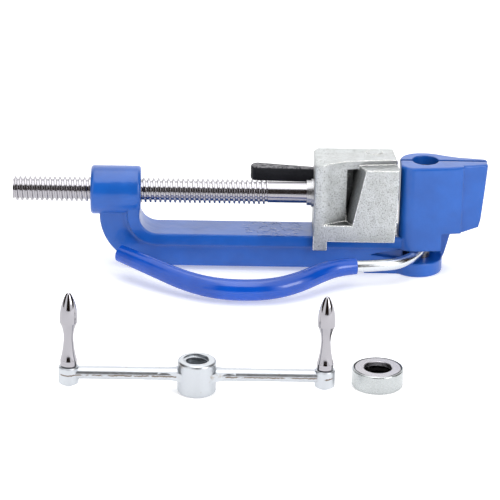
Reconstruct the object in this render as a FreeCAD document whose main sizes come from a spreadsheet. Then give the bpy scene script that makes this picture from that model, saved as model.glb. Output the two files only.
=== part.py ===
import FreeCAD, Part
import Sketcher
import math
import os

# Screw-type banding tool: a cast C frame carries a sliding gripper block, drawn back by a
# non-turning screw, and a slotted cutter turned by a bent lever. The crank, whose hub is the
# nut of the screw, and its thrust bearing are taken off and stand in front of the tool.
# Millimetres. The origin is the centre of the foot under the cutter, on the surface that the
# tool rests on; +X runs along the beam towards the nose, +Y to the back, +Z up.

Vector = FreeCAD.Vector
os.makedirs("parts", exist_ok=True)
doc = FreeCAD.newDocument("banding_tool")

# ---------------------------------------------------------------- driving dimensions
SIZES = {
    # fits
    "slide_gap": 0.3,           # block to beam, all sides
    "turn_gap": 0.1,            # radial, between parts that turn
    "bore_gap": 0.4,            # radial, screw in the boss and in the bearing
    # screw
    "screw_dia": 15.875,
    "screw_pitch": 3.175,
    "screw_height": 51.5,
    "thread_length": 163.9,
    "shank_dia": 13.7,
    "shank_length": 29.6,       # bare length between the thread and the block
    "tenon_length": 14.0,       # shank inside the block
    # frame
    "beam_top": 26.3,
    "beam_bottom": 3.0,
    "flange_depth": 26.6,
    "flange_thick": 7.5,
    "web_depth": 19.6,
    "web_end": 12.6,            # where the web stops beside the cutter
    "arm_inner": 183.3,
    "arm_width": 25.7,
    "inner_corner": 12.0,
    "outer_corner": 35.0,
    "boss_dia": 31.5,
    "boss_length": 32.2,
    "boss_proud": 0.7,
    "head_top": 75.0,
    "head_bottom": 18.0,
    "barrel_radius": 14.0,
    "head_front": 16.2,
    "head_back": 15.4,
    "head_left": 16.1,
    "nose_reach": 40.2,
    "nose_bottom": 29.5,
    "nose_step": 24.0,
    "apron_reach": 11.4,        # right-hand end of the barrel's apron under the nose
    "lug_thick": 9.3,
    "lug_radius": 16.5,
    "lug_shift": 2.9,
    # cutter
    "cutter_dia": 17.0,
    "neck_dia": 10.5,
    "cutter_recess": 6.0,
    "cutter_seat": 22.0,
    "seat_depth": 3.6,          # counterbore under the foot
    "ring_thick": 0.9,          # snap ring and washer
    "slot_width": 2.4,
    "slot_depth": 28.0,
    # cutter lever
    "rod_dia": 7.5,
    "rod_height": 14.0,
    "tenon_dia": 5.5,
    "grip_dia": 12.8,
    # gripper block
    "block_length": 54.5,
    "block_gap": 0.8,           # block to head at rest
    "block_top": 76.7,
    "block_front": 17.0,
    "block_back": 16.6,
    "skirt_drop": 2.0,
    "tab_drop": 8.5,
    "tab_width": 9.0,
    "throat_floor": 35.5,
    "plate_top": 73.4,
    "roof_thick": 2.4,          # from the plate's top down to the gap behind it
    # gripper pin and lever
    "pin_dia": 10.6,
    "pin_inset": 15.6,          # from the block's right-hand end
    "pin_back": 9.5,
    "cam_radius": 8.2,
    "cam_offset": 1.0,
    "cam_bottom": 46.8,
    "arm_bottom": 54.7,
    "arm_top": 64.3,
    "arm_reach": 81.0,
    # crank
    "crank_throw": 75.5,
    "hub_dia": 23.0,
    "hub_height": 20.5,
    "crank_mid": 11.0,
    "crank_bar_depth": 9.0,
    "crank_bar_height": 7.0,
    "end_boss_dia": 12.0,
    "end_boss_height": 10.8,
    "spindle_dia": 5.0,
    "handle_length": 46.0,
    "crank_place_x": -145.0,
    "crank_place_y": -196.0,
    # thrust bearing
    "bearing_dia": 30.5,
    "bearing_height": 11.2,
    "race_thick": 2.6,
    "ball_dia": 4.8,
    "shroud_wall": 0.8,
    "bearing_place_x": -37.5,
    "bearing_place_y": -183.0,
}
BALL_COUNT = 12

sheet = doc.addObject("Spreadsheet::Sheet", "Sizes")
for row, (alias, size) in enumerate(SIZES.items(), start=1):
    sheet.set(f"A{row}", alias)
    sheet.set(f"B{row}", str(size))
    sheet.setAlias(f"B{row}", alias)
doc.recompute()


def value(expression):
    """The number that an expression in the names of the sheet has now."""
    return float(sheet.evalExpression(sized(expression)))


def sized(expression):
    """The expression with every name of the sheet written as a reference to its cell."""
    words = []
    word = ""
    for letter in str(expression) + " ":
        if letter.isalnum() or letter in "_.":
            word += letter
            continue
        words.append("Sizes." + word if word in SIZES else word)
        words.append(letter)
        word = ""
    return "".join(words).strip()


# ---------------------------------------------------------------- sketch and feature helpers
def new_body(label):
    body = doc.addObject("PartDesign::Body", label)
    body.Label = label
    return body


def new_sketch(body, role, offset="0"):
    """A sketch on one of the body's own origin planes, moved along its normal by offset."""
    sketch = body.newObject("Sketcher::SketchObject", body.Label + "_sketch")
    plane = next(item for item in body.Origin.OriginFeatures if item.Role == role)
    sketch.AttachmentSupport = [(plane, "")]
    sketch.MapMode = "FlatFace"
    sketch.setExpression("AttachmentOffset.Base.z", sized(offset))
    return sketch


def pin_down(sketch, geometry, position, x, y):
    """Fix one point of the sketch at two expressions, measured from the sketch's origin."""
    for kind, size in (("DistanceX", x), ("DistanceY", y)):
        row = sketch.addConstraint(Sketcher.Constraint(kind, -1, 1, geometry, position, value(size)))
        sketch.setExpression(f"Constraints[{row}]", sized(size))


def circle(sketch, x, y, radius):
    centre = Vector(value(x), value(y), 0)
    index = sketch.addGeometry(Part.Circle(centre, Vector(0, 0, 1), value(radius)), False)
    pin_down(sketch, index, 3, x, y)
    row = sketch.addConstraint(Sketcher.Constraint("Radius", index, value(radius)))
    sketch.setExpression(f"Constraints[{row}]", sized(radius))


def arc_between(start, end, radius):
    """The shorter arc from start to end: turning left if the radius is positive, else right."""
    chord = end - start
    middle = (start + end) * 0.5
    height = math.sqrt(max(radius * radius - chord.Length ** 2 / 4, 0))
    left = Vector(-chord.y, chord.x, 0).normalize()
    centre = middle + left * math.copysign(height, radius)
    begin = math.atan2(start.y - centre.y, start.x - centre.x)
    finish = math.atan2(end.y - centre.y, end.x - centre.x)
    ring = Part.Circle(centre, Vector(0, 0, 1), abs(radius))
    if radius > 0:
        return Part.ArcOfCircle(ring, begin, finish if finish > begin else finish + 2 * math.pi)
    return Part.ArcOfCircle(ring, finish, begin if begin > finish else begin + 2 * math.pi)


def outline(sketch, corners):
    """A closed outline. Each corner is (x, y), or (x, y, radius) when the stretch that leaves it
    is an arc; a negative radius turns to the right."""
    points = [Vector(value(corner[0]), value(corner[1]), 0) for corner in corners]
    ends = []
    for number, corner in enumerate(corners):
        start = points[number]
        end = points[(number + 1) % len(points)]
        if len(corner) == 2:
            index = sketch.addGeometry(Part.LineSegment(start, end), False)
            ends.append((index, 1, 2))
            continue
        radius = value(corner[2])
        index = sketch.addGeometry(arc_between(start, end, radius), False)
        ends.append((index, 1, 2) if radius > 0 else (index, 2, 1))
    for number, (index, first, last) in enumerate(ends):
        following, following_first, _ = ends[(number + 1) % len(ends)]
        sketch.addConstraint(Sketcher.Constraint("Coincident", index, last, following, following_first))
    for (index, first, last), corner in zip(ends, corners):
        pin_down(sketch, index, first, corner[0], corner[1])
        if len(corner) == 3:
            row = sketch.addConstraint(Sketcher.Constraint("Radius", index, abs(value(corner[2]))))
            sketch.setExpression(f"Constraints[{row}]", "abs(" + sized(corner[2]) + ")")


def rectangle(sketch, left, right, bottom, top):
    outline(sketch, [(left, bottom), (right, bottom), (right, top), (left, top)])


def extrude(body, kind, sketch, length, symmetric=False, reverse=False):
    feature = body.newObject("PartDesign::" + kind, body.Label + "_" + kind.lower())
    feature.Profile = sketch
    feature.setExpression("Length", sized(length))
    if symmetric:
        feature.SideType = "Symmetric"
    feature.Reversed = reverse
    body.Tip = feature
    doc.recompute()
    return feature


def add(body, sketch, length, **options):
    return extrude(body, "Pad", sketch, length, **options)


def cut(body, sketch, length, **options):
    """A pocket, checked to have taken material away."""
    before = body.Shape.Volume
    feature = extrude(body, "Pocket", sketch, length, **options)
    if body.Shape.Volume > before - 1e-6:
        raise RuntimeError(feature.Name + " cuts nothing")
    return feature


def add_disc(body, role, offset, x, y, radius, length, **options):
    sketch = new_sketch(body, role, offset)
    circle(sketch, x, y, radius)
    return add(body, sketch, length, **options)


def cut_disc(body, role, offset, x, y, radius, length, **options):
    sketch = new_sketch(body, role, offset)
    circle(sketch, x, y, radius)
    return cut(body, sketch, length, **options)


def turned(label, corners, kind="Revolution"):
    """A body of revolution about its own Z: corners are (radius, height)."""
    body = new_body(label)
    sketch = new_sketch(body, "XZ_Plane")
    outline(sketch, corners)
    feature = body.newObject("PartDesign::Revolution", label + "_turned")
    feature.Profile = sketch
    feature.ReferenceAxis = (sketch, ["V_Axis"])
    feature.Angle = 360
    body.Tip = feature
    doc.recompute()
    return body


def round_edges(body, radius, wanted, kind="Fillet"):
    """Round or chamfer the edges of the body for which wanted(edge, middle) is true."""
    base = body.Tip
    names = []
    for number, edge in enumerate(base.Shape.Edges, start=1):
        low, high = edge.ParameterRange
        if wanted(edge, edge.valueAt((low + high) / 2)):
            names.append(f"Edge{number}")
    if not names:
        raise RuntimeError("no edge to round on " + body.Label)
    feature = body.newObject("PartDesign::" + kind, body.Label + "_" + kind.lower())
    feature.Base = (base, names)
    feature.setExpression("Radius" if kind == "Fillet" else "Size", sized(radius))
    body.Tip = feature
    doc.recompute()
    if "Invalid" in feature.State:
        raise RuntimeError(feature.Name + " cannot be rounded")
    return feature


def close_to(first, second, tolerance=0.02):
    return abs(first - second) < tolerance


def along(edge, axis):
    """True for a straight edge parallel to the axis."""
    if not isinstance(edge.Curve, Part.Line):
        return False
    return abs(edge.Curve.Direction.dot(axis)) > 0.9999


def place(item, x="0", y="0", z="0"):
    for name, size in (("x", x), ("y", y), ("z", z)):
        item.setExpression("Placement.Base." + name, sized(size))


# ---------------------------------------------------------------- frame casting
def build_beam(body):
    """Boss, web and flange: the C of the frame, with its cast edges rounded as it grows."""
    arm_left = "-(arm_inner + arm_width)"
    flange_low = value("beam_top - flange_thick")
    web_half = value("web_depth / 2")
    flange_half = value("flange_depth / 2")
    lengthwise = Vector(1, 0, 0)

    # boss that the screw slides through
    add_disc(body, "YZ_Plane", "-arm_inner + boss_proud - boss_length", "0", "screw_height",
             "boss_dia / 2", "boss_length")
    round_edges(body, "2.2", lambda edge, middle: isinstance(edge.Curve, Part.Circle))

    # web: the C of the beam and the arm
    web = new_sketch(body, "XZ_Plane")
    outline(web, [
        (arm_left, "screw_height"),
        (arm_left, "beam_bottom + outer_corner", "outer_corner"),
        (arm_left + " + outer_corner", "beam_bottom"),
        ("-web_end", "beam_bottom"),
        ("-web_end", "beam_top"),
        ("-arm_inner + inner_corner", "beam_top", "-inner_corner"),
        ("-arm_inner", "beam_top + inner_corner"),
        ("-arm_inner", "screw_height"),
    ])
    add(body, web, "web_depth", symmetric=True)

    def web_foot(edge, middle):
        low = close_to(middle.z, value("beam_bottom")) and along(edge, lengthwise)
        corner = isinstance(edge.Curve, Part.Circle) and close_to(
            edge.Curve.Radius, value("outer_corner"))
        return (low or corner) and close_to(abs(middle.y), web_half)

    round_edges(body, "1.5", web_foot)

    # flange along the inner side of the C
    flange = new_sketch(body, "XZ_Plane")
    outline(flange, [
        ("-arm_inner - flange_thick", "screw_height"),
        ("-arm_inner - flange_thick", "beam_top + inner_corner", "inner_corner + flange_thick"),
        ("-arm_inner + inner_corner", "beam_top - flange_thick"),
        ("-2", "beam_top - flange_thick"),
        ("-2", "beam_top"),
        ("-arm_inner + inner_corner", "beam_top", "-inner_corner"),
        ("-arm_inner", "beam_top + inner_corner"),
        ("-arm_inner", "screw_height"),
    ])
    add(body, flange, "flange_depth", symmetric=True)

    def web_root(edge, middle):
        beam = close_to(middle.z, flange_low) and along(edge, lengthwise)
        corner = isinstance(edge.Curve, Part.Circle) and close_to(
            edge.Curve.Radius, value("inner_corner + flange_thick"))
        return close_to(abs(middle.y), web_half) and (beam or corner)

    def flange_rim(edge, middle):
        beam = close_to(middle.z, value("beam_top")) and along(edge, lengthwise)
        corner = isinstance(edge.Curve, Part.Circle) and close_to(
            edge.Curve.Radius, value("inner_corner"))
        arm = close_to(middle.x, value("-arm_inner")) and along(edge, Vector(0, 0, 1))
        return close_to(abs(middle.y), flange_half) and (beam or corner or arm)

    round_edges(body, "3", web_root)
    round_edges(body, "1.2", flange_rim)


def build_frame():
    body = new_body("frame_casting")
    build_beam(body)

    # foot under the cutter
    def foot_rim(edge, middle):
        ring = isinstance(edge.Curve, Part.Circle) and close_to(edge.Curve.Radius, value("lug_radius"))
        return ring and close_to(middle.z, 0)

    add_disc(body, "XY_Plane", "0", "-lug_shift", "0", "lug_radius", "lug_thick")
    round_edges(body, "1.2", foot_rim)
    foot = new_sketch(body, "XY_Plane")
    outline(foot, [
        ("-lug_shift - 2.1 * lug_radius", "-web_depth / 2"),
        ("-lug_shift - 0.8 * lug_radius", "-0.6 * lug_radius"),
        ("-lug_shift", "-0.9 * lug_radius"),
        ("-lug_shift", "0.9 * lug_radius"),
        ("-lug_shift - 0.8 * lug_radius", "0.6 * lug_radius"),
        ("-lug_shift - 2.1 * lug_radius", "web_depth / 2"),
    ])
    add(body, foot, "lug_thick")

    # head: a barrel round the cutter, with the nose and its two cheeks above the gap
    add_disc(body, "XY_Plane", "head_bottom", "0", "0", "barrel_radius", "head_top - head_bottom")
    nose = new_sketch(body, "XY_Plane", "head_bottom")
    outline(nose, [
        ("-head_left", "-0.6 * head_front", "9"),
        ("-0.45 * head_left", "0.2 - head_front", "200"),
        ("nose_step", "4.2 - head_front"),
        ("nose_step", "6.2 - head_front"),
        ("nose_reach - 2.6", "8.8 - head_front", "3.4"),
        ("nose_reach", "11.2 - head_front"),
        ("nose_reach", "2.4", "3.4"),
        ("nose_reach - 2.6", "4.8"),
        ("22", "7.4"),
        ("12", "head_back - 4.4", "24"),
        ("-0.45 * head_left", "head_back - 1.6", "13"),
        ("-head_left", "4"),
    ])
    add(body, nose, "head_top - head_bottom")
    under = new_sketch(body, "XY_Plane", "nose_bottom")
    rectangle(under, "apron_reach", "nose_reach + 1", "-head_front - 1", "head_back + 1")
    cut(body, under, "nose_bottom - head_bottom + 1")
    slant = new_sketch(body, "XZ_Plane")
    outline(slant, [
        ("nose_step + 1", "nose_bottom - 1"),
        ("nose_step + 1", "nose_bottom"),
        ("nose_reach - 4.8", "nose_bottom + 3.1"),
        ("nose_reach - 3.5", "nose_bottom + 8.5"),
        ("nose_reach", "head_top + 1"),
        ("nose_reach + 10", "head_top + 1"),
        ("nose_reach + 10", "nose_bottom - 1"),
    ])
    cut(body, slant, "4 * head_front", symmetric=True)

    def head_rim(edge, middle):
        return close_to(middle.z, value("head_top")) and not close_to(middle.x, value("nose_step"))

    round_edges(body, "1.5", head_rim)


    # strap behind the cutter that ties the foot to the head
    strap = new_sketch(body, "XY_Plane", "lug_thick - 1")
    outline(strap, [
        ("8", "4.6"),
        ("barrel_radius + 0.5", "4.6", "barrel_radius + 2"),
        ("0", "barrel_radius + 0.5", "barrel_radius + 2"),
        ("-barrel_radius - 1", "5"),
        ("-web_end", "5"),
        ("-9", "5", "-(neck_dia / 2 + 5)"),
    ])
    add(body, strap, "head_bottom - lug_thick + 2")
    gusset = new_sketch(body, "XZ_Plane", "-(barrel_radius - 2)")
    outline(gusset, [
        ("8", "lug_thick - 5"),
        ("lug_radius - lug_shift - 0.4", "lug_thick - 5"),
        ("barrel_radius + 1.2", "lug_thick"),
        ("barrel_radius + 6.5", "nose_bottom + 1"),
        ("8", "nose_bottom + 1"),
    ])
    add(body, gusset, "barrel_radius - 6.6")

    # relief in the beam that lets the lever fold close to it
    relief = new_sketch(body, "XZ_Plane", "flange_depth / 2 - 6.5")
    outline(relief, [
        ("-web_end - 22", "rod_height - 1"),
        ("-web_end + 4", "lug_thick"),
        ("-web_end + 4", "head_bottom"),
    ])
    cut(body, relief, "30", reverse=True)

    # bores: cutter barrel with its seat, journal in the foot, counterbore for the snap ring
    turning_radius = "neck_dia / 2 + turn_gap"
    cut_disc(body, "XY_Plane", "head_top", "0", "0", "cutter_dia / 2 + turn_gap",
             "head_top - cutter_seat")
    cut_disc(body, "XY_Plane", "head_top", "0", "0", turning_radius, "head_top + 1")
    cut_disc(body, "XY_Plane", "0", "0", "0", "neck_dia / 2 + 2.6", "seat_depth", reverse=True)
    cut_disc(body, "YZ_Plane", "-arm_inner + boss_proud", "0", "screw_height",
             "screw_dia / 2 + bore_gap", "boss_length + 1")

    # slot for the band, open at the top
    slot = new_sketch(body, "XY_Plane", "head_top")
    rectangle(slot, "-head_left - 1", "nose_reach + 1", "-slot_width / 2", "slot_width / 2")
    cut(body, slot, "slot_depth")
    return body


# ---------------------------------------------------------------- cutter and its lever
RING_PLACE = "seat_depth - 0.5 - 2 * ring_thick"    # underside of the snap ring

LEVER_ROUTE = [
    (0.0, 0.0, "rod_height"),
    (-6.0, -15.0, "rod_height"),
    (-17.0, -27.5, "rod_height"),
    (-34.0, -31.5, "rod_height"),
    (-52.0, -33.5, "rod_height"),
    (-66.0, -41.0, "rod_height - 1.0"),
    (-80.0, -53.0, "rod_height - 3.0"),
    (-97.0, -60.5, "rod_height - 5.0"),
    (-118.0, -62.5, "rod_height - 5.5"),
    (-138.0, -59.5, "rod_height - 5.0"),
    (-156.0, -51.5, "rod_height - 3.0"),
    (-172.0, -41.0, "rod_height + 0.0"),
    (-195.0, -24.0, "rod_height + 3.0"),
]
GRIP_FROM = 4                   # the sleeve starts a little before this point of the route


def tangent_path(points):
    """Straight runs joined by tangent arcs, each arc as large as its two runs allow."""
    edges = []
    begin = points[0]
    for before, corner, after in zip(points, points[1:], points[2:]):
        into = (corner - before).normalize()
        out_of = (after - corner).normalize()
        run = 0.45 * min((corner - before).Length, (after - corner).Length)
        enter = corner - into * run
        leave = corner + out_of * run
        toward = ((enter + leave) * 0.5 - corner).normalize()
        half = math.acos(max(-1, min(1, into.dot(out_of)))) / 2
        radius = run / math.tan(half)
        depth = radius / math.cos(half) - radius
        edges.append(Part.LineSegment(begin, enter).toShape())
        edges.append(Part.Arc(enter, corner + toward * depth, leave).toShape())
        begin = leave
    edges.append(Part.LineSegment(begin, points[-1]).toShape())
    return edges


def pipe(edges, radius):
    """A round bar along the edges of a path."""
    path = Part.Wire(edges)
    start = edges[0].firstVertex().Point
    if (start - edges[0].valueAt(edges[0].FirstParameter)).Length > 1e-6:
        start = edges[0].lastVertex().Point
    heading = edges[0].tangentAt(edges[0].FirstParameter)
    ring = Part.Wire([Part.Circle(start, heading, radius).toShape()])
    return path.makePipeShell([ring], True, False)


def shape_feature(label, shape):
    feature = doc.addObject("Part::Feature", label)
    feature.Label = label
    feature.Shape = shape
    return feature


def build_cutter_shaft():
    """The turning cutter: a slotted barrel in the head and a journal that carries the lever."""
    body = new_body("cutter_shaft")
    low = "0.5"
    add_disc(body, "XY_Plane", "cutter_seat + slide_gap", "0", "0", "cutter_dia / 2",
             "head_top - cutter_recess - cutter_seat - slide_gap")
    add_disc(body, "XY_Plane", low, "0", "0", "neck_dia / 2", "cutter_seat + slide_gap - " + low)
    slot = new_sketch(body, "XY_Plane", "head_top - cutter_recess")
    rectangle(slot, "-cutter_dia", "cutter_dia", "-slot_width / 2", "slot_width / 2")
    cut(body, slot, "slot_depth - cutter_recess")
    groove = new_sketch(body, "XY_Plane", RING_PLACE + " - 0.05")
    circle(groove, "0", "0", "neck_dia / 2 + 1")
    circle(groove, "0", "0", "neck_dia / 2 - 0.8")
    cut(body, groove, "ring_thick + 0.1", reverse=True)
    round_edges(body, "0.4", lambda edge, middle: close_to(middle.z, value(low)), "Chamfer")
    return body


def build_lever():
    """Lever rod with its turned tenon in the cutter, and the sleeve over its outer stretch."""
    points = [Vector(x, y, value(z)) for x, y, z in LEVER_ROUTE]
    edges = tangent_path(points)
    rod = pipe(edges, value("rod_dia / 2"))
    heading = (points[1] - points[0]).normalize()
    shoulder = value("neck_dia / 2 + 0.1")
    keep_out = Part.makeCylinder(shoulder, 40, Vector(0, 0, points[0].z - 20))
    rod = rod.cut(keep_out)
    tenon = Part.makeCylinder(value("tenon_dia / 2"), shoulder + 3.2, heading * -2.2 + points[0], heading)
    rod = rod.fuse(tenon).removeSplitter()

    sleeve_edges = edges[2 * GRIP_FROM - 1:]
    sleeve = pipe(sleeve_edges, value("grip_dia / 2"))
    end = points[-1]
    dome = Part.makeSphere(value("grip_dia / 2"), end)
    sleeve = sleeve.fuse(dome).removeSplitter().cut(rod)
    return shape_feature("cutter_lever_rod", rod), shape_feature("cutter_lever_grip", sleeve), heading


def bore_cutter(body, heading):
    """Cross bore of the cutter's neck: the lever's tenon on one side, its set screw on the other."""
    angle = math.degrees(math.atan2(heading.y, heading.x))
    sketch = new_sketch(body, "YZ_Plane")
    sketch.AttachmentOffset = FreeCAD.Placement(
        Vector(0, 0, 0), FreeCAD.Rotation(Vector(0, 1, 0), angle))
    circle(sketch, "0", "rod_height", "tenon_dia / 2")
    cut(body, sketch, "2 * neck_dia", symmetric=True)


def build_set_screw(heading):
    """Set screw that locks the lever's tenon, with a hexagon socket in its outer end."""
    body = new_body("lever_set_screw")
    add_disc(body, "YZ_Plane", "-neck_dia / 2", "0", "0", "tenon_dia / 2", "neck_dia / 2 - 2.2")
    socket = new_sketch(body, "YZ_Plane", "-neck_dia / 2")
    corners = []
    for number in range(6):
        turn = 60 * number
        corners.append((f"1.5 * cos({turn} deg)", f"1.5 * sin({turn} deg)"))
    outline(socket, corners)
    cut(body, socket, "1.6", reverse=True)
    angle = math.degrees(math.atan2(heading.y, heading.x))
    body.Placement = FreeCAD.Placement(Vector(0, 0, 0), FreeCAD.Rotation(Vector(0, 0, 1), angle))
    body.setExpression("Placement.Base.z", sized("rod_height"))
    return body


def ring_body(label, outer, inner, bottom, height):
    body = new_body(label)
    sketch = new_sketch(body, "XY_Plane", bottom)
    circle(sketch, "0", "0", outer)
    circle(sketch, "0", "0", inner)
    add(body, sketch, height)
    return body


def build_snap_ring():
    body = ring_body("cutter_snap_ring", "neck_dia / 2 + 1.6", "neck_dia / 2 - 0.7",
                     RING_PLACE, "ring_thick")
    gap = new_sketch(body, "XY_Plane", "seat_depth")
    rectangle(gap, "0", "neck_dia", "-1.5", "1.5")
    cut(body, gap, "seat_depth")
    return body


# ---------------------------------------------------------------- tension screw
def helical_groove(body, label, length, root_radius, crest_radius, start):
    """Cut a trapezoidal thread along the body's X axis; the groove widens to the crest."""
    pitch = value("screw_pitch")
    low = value(root_radius)
    high = value(crest_radius)
    narrow = 0.19 * pitch
    flare = abs(high - low) * math.tan(math.radians(14.5))
    profile = new_sketch(body, "XZ_Plane")
    wide = narrow + flare
    corners = [(f"{start} - {narrow}", root_radius), (f"{start} + {narrow}", root_radius),
               (f"{start} + {wide}", crest_radius), (f"{start} - {wide}", crest_radius)]
    outline(profile, corners)
    helix = body.newObject("PartDesign::SubtractiveHelix", label)
    helix.Profile = profile
    helix.ReferenceAxis = (profile, ["H_Axis"])
    helix.Mode = 0
    helix.setExpression("Pitch", sized("screw_pitch"))
    helix.setExpression("Height", sized(length))
    helix.Angle = 0
    helix.LeftHanded = False
    helix.Reversed = False
    body.Tip = helix
    doc.recompute()


def screw_left():
    return "-(block_length + head_left + block_gap) - shank_length - thread_length"


def build_screw():
    """The screw lies along its own X axis, the threaded end at its origin."""
    body = new_body("tension_screw")
    add_disc(body, "YZ_Plane", "0", "0", "0", "screw_dia / 2", "thread_length")
    round_edges(body, "1.4", lambda edge, middle: close_to(middle.x, 0), "Chamfer")
    add_disc(body, "YZ_Plane", "thread_length - 0.01", "0", "0", "shank_dia / 2",
             "shank_length + tenon_length + 0.01")
    hole = new_sketch(body, "XZ_Plane")
    circle(hole, "thread_length + shank_length + 7.4", "0", "2")
    cut(body, hole, "40", symmetric=True)
    helical_groove(body, "tension_screw_thread", "thread_length + screw_pitch",
                   "screw_dia / 2 - screw_pitch / 2", "screw_dia / 2 + 0.2", "-screw_pitch")
    place(body, screw_left(), "0", "screw_height")
    return body


def build_cross_pin():
    """Spring pin that keeps the screw from turning and leaving the block."""
    body = new_body("screw_cross_pin")
    sketch = new_sketch(body, "XZ_Plane", "-block_back + 1")
    circle(sketch, "0", "0", "2")
    circle(sketch, "0", "0", "1.1")
    add(body, sketch, "block_back + 7.5")
    place(body, screw_left() + " + thread_length + shank_length + 7.4", "0", "screw_height")
    return body


def build_washers():
    """Stack of washers between the block and the shoulder of the screw."""
    block_left = "-(block_length + head_left + block_gap)"
    seat = ring_body("screw_seat_washer", "9.2", "shank_dia / 2 + 0.15", "0", "1.4")
    seat.Placement = FreeCAD.Placement(Vector(0, 0, 0), FreeCAD.Rotation(Vector(0, 1, 0), -90))
    place(seat, block_left, "0", "screw_height")
    shims = []
    for number in range(3):
        shim = ring_body(f"shim_{number}", "8.3", "shank_dia / 2 + 0.15", "0", "0.9")
        shim.Placement = FreeCAD.Placement(Vector(0, 0, 0), FreeCAD.Rotation(Vector(0, 1, 0), -90))
        place(shim, block_left + f" - 1.4 - {number} * 1.0 - 0.1", "0", "screw_height")
        shims.append(shim)
    stack = doc.addObject("Part::Compound", "screw_shim_washers")
    stack.Label = "screw_shim_washers"
    stack.Links = shims
    doc.recompute()
    return seat, stack


# ---------------------------------------------------------------- gripper block
def build_block():
    body = new_body("gripper_block")
    right = "-(head_left + block_gap)"
    left = "-(head_left + block_gap + block_length)"
    bottom = "beam_top + slide_gap"
    plan = new_sketch(body, "XY_Plane", bottom)
    outline(plan, [
        (left, "-block_front"),
        (right, "-block_front"),
        (right + " - 3", "block_back"),
        (left + " + 2.5", "block_back"),
        (left, "block_back - 4"),
    ])
    add(body, plan, "block_top - beam_top - slide_gap")

    def block_rim(edge, middle):
        top = close_to(middle.z, value("block_top"))
        upright = along(edge, Vector(0, 0, 1)) and middle.y < 0
        return top or upright

    round_edges(body, "1.6", block_rim)

    # skirts that run down beside the beam, each with a tab at its left end
    inner = "flange_depth / 2 + slide_gap"
    for front in (True, False):
        near = "-block_front" if front else inner
        far = "-(" + inner + ")" if front else "block_back"
        shift = "" if front else " - 3"
        skirt = new_sketch(body, "XY_Plane", "beam_top - skirt_drop")
        rectangle(skirt, left + (" + 0.01" if front else " + 2.51"), right + shift + " - 1.6", near, far)
        add(body, skirt, "skirt_drop + slide_gap + 1")
        tab = new_sketch(body, "XY_Plane", "beam_top - tab_drop")
        start = left if front else left + " + 2.5"
        rectangle(tab, start, start + " + tab_width", near, far)
        add(body, tab, "tab_drop + slide_gap + 1")

    def tab_rim(edge, middle):
        return close_to(middle.z, value("beam_top - tab_drop"))

    round_edges(body, "1.2", tab_rim)

    # the front of the right-hand end leans in towards the foot
    lean_in = new_sketch(body, "XZ_Plane", "block_front + 1")
    outline(lean_in, [
        (right + " + 0.4", "block_top"),
        (right + " - 2.1", "beam_top - skirt_drop - 1"),
        (right + " + 2", "beam_top - skirt_drop - 1"),
        (right + " + 2", "block_top"),
    ])
    cut(body, lean_in, "7")

    # throat: the scooped opening at the front where the band comes out, open at the top
    throat = new_sketch(body, "XY_Plane", "block_top")
    outline(throat, [
        (left + " + 1.5", "-block_front - 0.6", "16"),
        (left + " + 9.5", "-14.6", "-36"),
        (left + " + 29.6", "-7.4"),
        (left + " + 36", "-6.6"),
        (left + " + 36", "-block_front - 0.6"),
    ])
    cut(body, throat, "block_top - throat_floor")
    gap = new_sketch(body, "XY_Plane", "plate_top - roof_thick")
    rectangle(gap, left + " + 21", left + " + 36.2", "-9.6", "-slot_width / 2")
    cut(body, gap, "plate_top - roof_thick - throat_floor")

    # front plate: its left end leans in both directions
    plate = []
    for height, lean in (("throat_floor - 0.5", "0"), ("plate_top", "8")):
        section = new_sketch(body, "XY_Plane", height)
        outline(section, [
            (left + " + 25 + " + lean, "-block_front"),
            (left + " + 36.5", "-block_front"),
            (left + " + 36.5", "-slot_width / 2"),
            (left + " + 18.5 + " + lean, "-slot_width / 2 - 0.01"),
            (left + " + 18.5 + " + lean, "-slot_width / 2 - 1"),
        ])
        plate.append(section)
    wedge = body.newObject("PartDesign::AdditiveLoft", "gripper_block_wedge")
    wedge.Profile = plate[0]
    wedge.Sections = [plate[1]]
    wedge.Ruled = True
    body.Tip = wedge
    doc.recompute()

    # step from the roof down to the top of the plate, and the slit for the band behind it
    step = new_sketch(body, "XY_Plane", "block_top")
    outline(step, [
        (left + " + 21.9", "-block_front - 1"),
        (right + " + 1", "-block_front - 1"),
        (right + " + 1", "-4.6"),
        (left + " + 35.9", "-6.6"),
        (left + " + 21.9", "-8.6"),
    ])
    cut(body, step, "block_top - plate_top")
    slit = new_sketch(body, "XY_Plane", "throat_floor")
    rectangle(slit, left + " + 21", right + " + 1", "-slot_width / 2", "slot_width / 2")
    cut(body, slit, "plate_top - throat_floor - roof_thick", reverse=True)
    mouth = new_sketch(body, "XY_Plane", "throat_floor")
    rectangle(mouth, left + " + 21", left + " + 25", "-6", "slot_width / 2")
    cut(body, mouth, "plate_top - throat_floor - roof_thick", reverse=True)

    # cavity of the cam, slot of the lever arm, bore of the pin
    pin_x = "-(head_left + block_gap + pin_inset)"
    cut_disc(body, "XY_Plane", "arm_top + 0.7", pin_x, "pin_back",
             "cam_radius + cam_offset + 0.6", "arm_top - cam_bottom + 1.4")
    sweep = new_sketch(body, "XY_Plane", "arm_top + 0.7")
    outline(sweep, [
        (left + " - 1", "pin_back - 0.6"),
        (pin_x + " - 15", "pin_back - 1.4"),
        (pin_x + " - 8", "pin_back - 4"),
        (pin_x, "pin_back"),
        (pin_x + " + 6", "pin_back + 4"),
        (pin_x + " + 4", "block_back + 1"),
        (left + " - 1", "block_back + 1"),
    ])
    cut(body, sweep, "arm_top - arm_bottom + 1.4")
    cut_disc(body, "XY_Plane", "block_top", pin_x, "pin_back", "pin_dia / 2 + 0.05",
             "block_top - beam_top - slide_gap + 1")

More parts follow.
